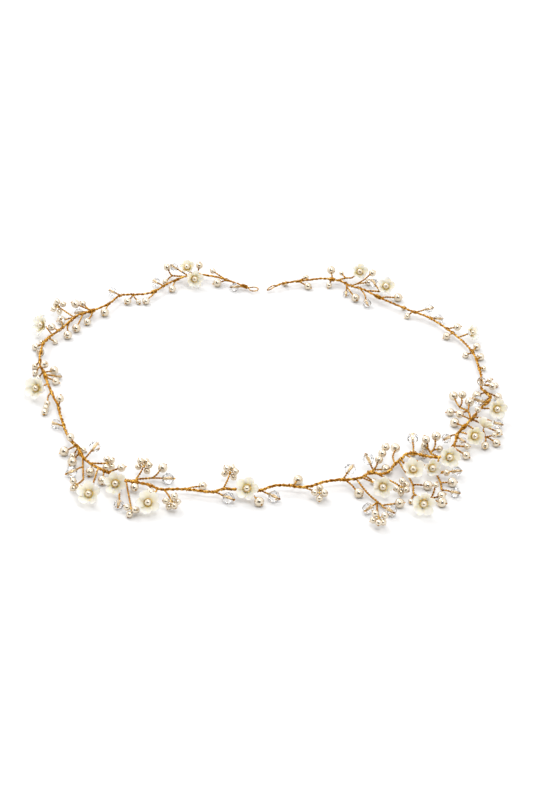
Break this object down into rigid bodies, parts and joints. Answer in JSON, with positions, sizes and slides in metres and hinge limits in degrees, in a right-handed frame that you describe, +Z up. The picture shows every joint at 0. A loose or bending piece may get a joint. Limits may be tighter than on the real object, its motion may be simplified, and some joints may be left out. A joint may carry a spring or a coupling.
{
  "type": "bridal hair vine",
  "caption": "Open ring of twisted gold wire with eyelets at both ends, carrying pearls, faceted crystal beads and cupped ivory flowers on short twigs.",
  "frame": {"origin": "middle of the bounding box at the table it lies on", "axes": "+Z up from the table, +Y towards the gap between the two eyelets, +X to the right when looking along +Y"},
  "size_m": [0.1898, 0.2079, 0.0101],
  "materials": {
    "gold_wire": "polished gold tone",
    "pearl": "pearly gloss",
    "crystal": "clear, cut in facets",
    "petal": "soft satin, like thin shell"
  },
  "bodies": {
    "root": {"vine_wire": "gold_wire", "pearls_left": "pearl", "pearls_right": "pearl", "centre_pearls": "pearl", "wire_collars": "gold_wire", "small_crystals": "crystal", "flower_01": "petal", "flower_02": "petal", "flower_03": "petal", "flower_04": "petal", "flower_05": "petal", "flower_06": "petal", "flower_07": "petal", "flower_08": "petal", "flower_09": "petal", "flower_10": "petal", "flower_11": "petal", "flower_12": "petal", "flower_13": "petal", "flower_14": "petal", "flower_15": "petal", "flower_16": "petal", "flower_17": "petal", "flower_18": "petal", "flower_19": "petal", "crystal_01": "crystal", "crystal_02": "crystal", "crystal_03": "crystal", "crystal_04": "crystal", "crystal_05": "crystal", "crystal_06": "crystal", "crystal_07": "crystal", "crystal_08": "crystal", "crystal_09": "crystal", "crystal_10": "crystal"}
  },
  "joints": []
}
